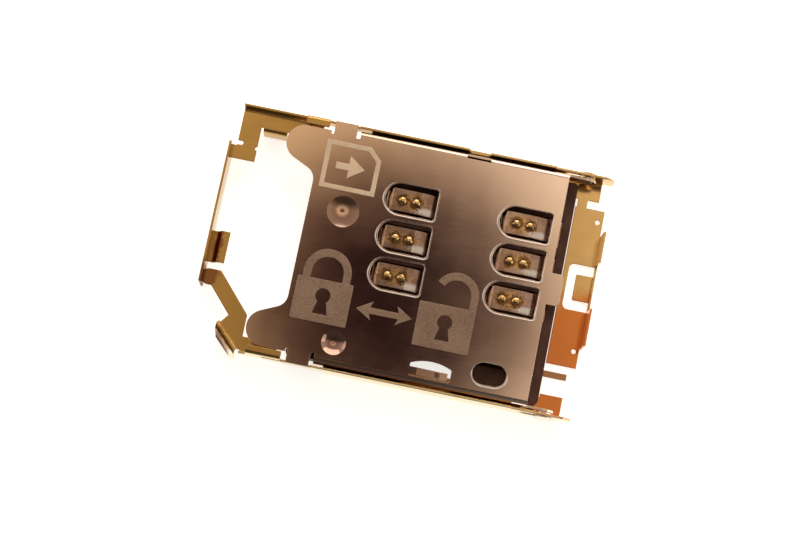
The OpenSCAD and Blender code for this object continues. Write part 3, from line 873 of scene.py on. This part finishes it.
@dataclass
class Signs:
    """Generic etched signs on the lid: a shut and an open padlock, a double arrow and a card."""

    finish: bpy.types.Material
    pale: bpy.types.Material
    lid_top: float
    thickness: float = 0.012
    edge: float = 0.004
    line: float = 0.3
    corner_r: float = 0.08
    corner_steps: int = 4

    def flat(self, name: str, outlines: Sequence[Sequence[Point]],
             pale: bool = False) -> bpy.types.Object:
        """Builds one sign from closed outlines, where an outline inside another is a hole.

        Args:
            name: Name of the piece.
            outlines: The outlines, in millimetres on the lid.
            pale: Whether the sign has the paler finish.

        Returns:
            The sign, riding on the lid.
        """
        curve = bpy.data.curves.new(name, "CURVE")
        curve.dimensions = "2D"
        curve.fill_mode = "BOTH"
        curve.extrude = self.thickness / 2
        curve.bevel_depth = self.edge
        for outline in outlines:
            spline = curve.splines.new("POLY")
            spline.points.add(len(outline) - 1)
            for point, (x, y) in zip(spline.points, outline):
                point.co = (x, y, 0.0, 1.0)
            spline.use_cyclic_u = True
        drawn = bpy.data.objects.new(name + "_drawn", curve)
        bpy.context.scene.collection.objects.link(drawn)
        bpy.context.view_layer.update()
        mesh = bpy.data.meshes.new_from_object(drawn.evaluated_get(bpy.context.evaluated_depsgraph_get()))
        bpy.data.objects.remove(drawn)
        mesh.name = name
        mesh.transform(Matrix.Translation((0, 0, self.lid_top * MM)) @ Matrix.Scale(MM, 4))
        mesh.materials.clear()
        mesh.materials.append(self.pale if pale else self.finish)
        piece = bpy.data.objects.new(name, mesh)
        bpy.context.scene.collection.objects.link(piece)
        return put_on(piece, Body.LID)

    def box(self, left: float, right: float, near: float, far: float) -> list[Point]:
        """Draws a rectangle with small round corners.

        Args:
            left: X of its left side.
            right: X of its right side.
            near: Y of its near side.
            far: Y of its far side.

        Returns:
            The outline's points.
        """
        r, steps = self.corner_r, self.corner_steps
        return (arc((right - r, far - r), r, 0, 90, steps) + arc((left + r, far - r), r, 90, 180, steps)
                + arc((left + r, near + r), r, 180, 270, steps)
                + arc((right - r, near + r), r, 270, 360, steps))

    def padlock(self, lock: Padlock) -> None:
        """Builds a padlock.

        Args:
            lock: Its sizes and its place.
        """
        body = self.box(lock.left, lock.right, lock.near, lock.far)
        self.flat(f"sign_{lock.name}_padlock", [body, lock.keyhole()])
        self.flat(f"sign_{lock.name}_shackle", [lock.bow()])

    def double_arrow(self) -> None:
        """Builds the arrow that points both ways between the padlocks."""
        y, half, barb = -3.78, 0.2, 0.62
        left, right, head, slant = -2.33, 1.32, 0.95, 0.08
        self.flat("sign_double_arrow", [[
            (left, y), (left + head + slant, y + barb), (left + head - slant, y + half),
            (right - head + slant, y + half), (right - head - slant, y + barb), (right, y),
            (right - head - slant, y - barb), (right - head + slant, y - half),
            (left + head - slant, y - half), (left + head + slant, y - barb)]])

    def card_sign(self) -> None:
        """Builds a plain card outline with a cut corner and a small arrow into it."""
        left, right, near, far = -6.38, -2.68, 3.62, 6.85
        cut, mitre = 0.8, 0.4
        line = self.line
        inner_cut = cut + line * mitre
        self.flat("sign_card", [
            [(left, near), (right, near), (right, far - cut), (right - cut, far), (left, far)],
            [(left + line, near + line), (right - line, near + line), (right - line, far - inner_cut),
             (right - inner_cut, far - line), (left + line, far - line)]], pale=True)
        middle = (near + far) / 2
        tail, neck, tip = left + 0.85, left + 1.7, left + 2.75
        half, barb = 0.22, 0.75
        self.flat("sign_card_arrow", [[
            (tail, middle + half), (neck, middle + half), (neck, middle + barb), (tip, middle),
            (neck, middle - barb), (neck, middle - half), (tail, middle - half)]], pale=True)

    def build(self) -> None:
        """Builds every sign."""
        self.padlock(SHUT_PADLOCK)
        self.padlock(OPEN_PADLOCK)
        self.double_arrow()
        self.card_sign()


@dataclass(frozen=True)
class Panel:
    """A soft light panel that faces the holder.

    Its place and size are in millimetres, and a radiance of 1 shows as white.
    """

    name: str
    place: Point3
    size: Point
    radiance: float
    colour: Colour

    def hang(self) -> None:
        """Adds the panel to the scene."""
        data = bpy.data.lights.new(self.name, "AREA")
        data.shape = "RECTANGLE"
        data.size = self.size[0] * MM
        data.size_y = self.size[1] * MM
        data.color = self.colour
        data.energy = self.radiance * math.pi * data.size * data.size_y
        light = bpy.data.objects.new(self.name, data)
        light.location = Vector(self.place) * MM
        light.rotation_mode = "QUATERNION"
        light.rotation_quaternion = (-light.location).to_track_quat("-Z", "Y")
        bpy.context.scene.collection.objects.link(light)


@dataclass
class Studio:
    """White floor, light tent, soft panels and the camera at the photograph's angle."""

    tent: tuple[tuple[float, Colour], ...] = (
        (0, (0.045, 0.023, 0.024)), (2.0, (0.022, 0.011, 0.013)), (3.4, (0.095, 0.060, 0.050)),
        (4.8, (0.30, 0.215, 0.155)), (6.2, (0.90, 0.72, 0.54)), (8, (1.2, 1.04, 0.84)),
        (11, (0.80, 0.66, 0.50)), (16, (0.36, 0.27, 0.20)), (90, (1.0, 0.95, 0.88)))
    opening: Point3 = (-1.2, 48.5, 298.0)
    near_shade: float = 0.15
    near_range: Point = (-0.16, 0.14)
    panels: tuple[Panel, ...] = (
        Panel("far_panel", (0, 330, 220), (500, 260), 1.6, (1.0, 0.96, 0.90)),
        Panel("right_panel", (340, -40, 190), (220, 300), 0.9, (1.0, 0.94, 0.85)),
        Panel("left_panel", (-340, 60, 120), (220, 300), 0.5, (1.0, 0.95, 0.86)))
    floor_half: float = 1500.0
    floor_z: float = -0.01
    aim: Point3 = (0.0, -0.85, 1.3)
    distance: float = 120.6
    tilt: float = 10.1
    lean: float = -2.0
    roll: float = 11.4
    lens: float = 83.0
    nearest_m: float = 0.005

    def floor(self) -> None:
        """Lays the floor just under the holder's feet."""
        half, z = self.floor_half, self.floor_z
        points = [(-half, -half, z), (half, -half, z), (half, half, z), (-half, half, z)]
        mesh_piece("stage_floor", points, [[0, 1, 2, 3]], StageFinish().material())

    def world(self) -> None:
        """Surrounds the scene with a soft light tent that has one dark opening above the holder."""
        world = bpy.data.worlds.new("studio")
        bpy.context.scene.world = world
        world.use_nodes = True
        nodes = Nodes(world.node_tree)
        place = nodes.add("ShaderNodeTexCoord").outputs["Generated"]
        dot = nodes.add("ShaderNodeVectorMath", operation="DOT_PRODUCT")
        nodes.link(place, dot.inputs[0])
        dot.inputs[1].default_value = Vector(self.opening).normalized()
        away = nodes.maths("MAXIMUM", nodes.maths("SUBTRACT", 1.0, dot.outputs["Value"]), 0.0)
        ramp = nodes.feed(nodes.add("ShaderNodeValToRGB"), Fac=nodes.maths("SQRT", away))
        stops = ramp.color_ramp.elements
        stops.remove(stops[1])
        for index, (angle, colour) in enumerate(self.tent):
            position = math.sqrt(1 - math.cos(math.radians(angle)))
            stop = stops[0] if index == 0 else stops.new(position)
            stop.position = position
            stop.color = (*colour, 1.0)
        parts = nodes.feed(nodes.add("ShaderNodeSeparateXYZ"), Vector=place)
        shade = nodes.spread(parts.outputs["Y"], self.near_shade, 1.0, *self.near_range)
        shaded = nodes.add("ShaderNodeVectorMath", operation="SCALE")
        nodes.link(ramp.outputs["Color"], shaded.inputs[0])
        nodes.link(shade, shaded.inputs["Scale"])
        seen = nodes.add("ShaderNodeLightPath").outputs["Is Camera Ray"]
        tent = nodes.mixed(seen, shaded.outputs["Vector"], WHITE)
        nodes.feed(world.node_tree.nodes["Background"], Color=tent)

    def camera(self) -> None:
        """Places the camera where the photograph was taken from."""
        data = bpy.data.cameras.new("camera")
        data.lens = self.lens
        data.clip_start = self.nearest_m
        camera = bpy.data.objects.new("camera", data)
        turn = Euler([math.radians(a) for a in (self.tilt, self.lean, self.roll)], "XYZ").to_matrix()
        camera.rotation_euler = turn.to_euler()
        camera.location = (Vector(self.aim) + turn @ Vector((0, 0, self.distance))) * MM
        bpy.context.scene.collection.objects.link(camera)
        bpy.context.scene.camera = camera

    def build(self) -> None:
        """Builds the floor, the lights, the surroundings and the camera."""
        self.floor()
        for panel in self.panels:
            panel.hang()
        self.world()
        self.camera()


# Its dark brown edge colour is partly bare cut edge and partly painted dark reflection.
GOLD_FLASH = PlatedSheetFinish("gold_flashed_sheet", base=(0.88, 0.62, 0.29), patch=(0.82, 0.54, 0.22),
                               wear_and_edge_shade=(0.24, 0.12, 0.05), roughness=0.2, edge_mm=0.08, edge_wear_and_shade_share=0.9,
                               seed=2.0)
LID_SHEET = LidFinish("rolled_lid_sheet", base=(0.98, 0.78, 0.65), patch=(0.94, 0.73, 0.59),
                      wear_and_edge_shade=(0.34, 0.22, 0.17), roughness=0.1, roughness_spread=0.012, streaks=0.03,
                      grain_depth_mm=0.0002, seed=5.0)
LIP_METAL = LipFinish("drawn_lips", base=(0.98, 0.88, 0.80), patch=(0.86, 0.72, 0.62),
                      wear_and_edge_shade=(0.97, 0.9, 0.82), roughness=0.24, edge_wear_and_shade_share=0.0, patch_scale=0.6,
                      grain=Grain.NONE, seed=7.0)
ETCHED = EtchedFinish("etched_signs", base=(0.44, 0.305, 0.225), patch=(0.23, 0.15, 0.11),
                      wear_and_edge_shade=(0.80, 0.66, 0.5), roughness=0.5, grain=Grain.NONE, seed=9.0)
ETCHED_PALE = replace(ETCHED, name="etched_card_sign", base=(0.98, 0.80, 0.60),
                      patch=(0.70, 0.53, 0.38), roughness=0.42, seed=10.0)
CONTACT_PLATE = PlatedContactFinish("plated_contacts", base=(0.66, 0.47, 0.37), patch=(0.40, 0.24, 0.16),
                                    wear_and_edge_shade=(0.30, 0.17, 0.10), roughness=0.16, patch_scale=1.1)
BARE_BRONZE = MetalFinish("bare_bronze", base=(0.62, 0.33, 0.16), patch=(0.5, 0.24, 0.11),
                          wear_and_edge_shade=(0.85, 0.58, 0.34), roughness=0.33, seed=13.0)
PIN_STEEL = MetalFinish("turned_pins", base=(0.86, 0.80, 0.72), patch=(0.78, 0.68, 0.55),
                        wear_and_edge_shade=(0.96, 0.93, 0.86), roughness=0.18, grain=Grain.TURNED, seed=15.0)


@dataclass
class Holder:
    """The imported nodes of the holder, each dressed in its finish."""

    leg_reach: float = 2.66
    plate_seed: float = 11.0
    per_column: int = 3
    contacts: tuple[str, ...] = ("contact_supply", "contact_reset", "contact_clock",
                                 "contact_ground", "contact_program", "contact_data")

    def dress(self, names: Sequence[str], finish: bpy.types.Material) -> None:
        """Gives CAD nodes a finish.

        Args:
            names: Names of the nodes.
            finish: Material for all of them.
        """
        for name in names:
            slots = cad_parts[name].data.materials
            slots.clear()
            slots.append(finish)
            log.info("%s dressed in %s", name, finish.name)

    def columns(self) -> list[float]:
        """Returns the X of each column's contact tips, hinge side first."""
        return [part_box(name)[1].x / MM - self.leg_reach for name in self.contacts[::self.per_column]]

    def rows(self) -> list[float]:
        """Returns the Y of each row of contacts, far side first."""
        first_column = self.contacts[:self.per_column]
        return [sum(corner.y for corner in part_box(name)) / 2 / MM for name in first_column]

    def build(self) -> None:
        """Dresses every node of the frame."""
        self.dress(["base_frame"], GOLD_FLASH.material())
        self.dress(["contact_housing"], MouldedFinish().material())
        places = [(x, y) for x in self.columns() for y in self.rows()]
        for index, (name, place) in enumerate(zip(self.contacts, places)):
            plate = replace(CONTACT_PLATE, name=name + "_plate", centre=place,
                            seed=self.plate_seed + index)
            self.dress([name], plate.material())
        self.dress(["switch_spring"], BARE_BRONZE.material())
        self.dress(["hinge_pin_far", "hinge_pin_near"], PIN_STEEL.material())
        self.dress(["lid"], LID_SHEET.material())


def main() -> None:
    """Builds the studio and the dressed holder."""
    logging.basicConfig(level=logging.INFO, format="%(message)s")
    bpy.context.scene.view_settings.view_transform = "Standard"
    lid_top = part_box("lid")[1].z / MM
    log.info("the lid's top is at %.3f mm", lid_top)
    Studio().build()
    holder = Holder()
    holder.build()
    lip_metal = replace(LIP_METAL, top_mm=lid_top)
    WindowLips(lip_metal.material(), lid_top, holder.columns(), holder.rows()).build()
    Signs(ETCHED.material(), ETCHED_PALE.material(), lid_top).build()


if __name__ == "__main__":
    main()
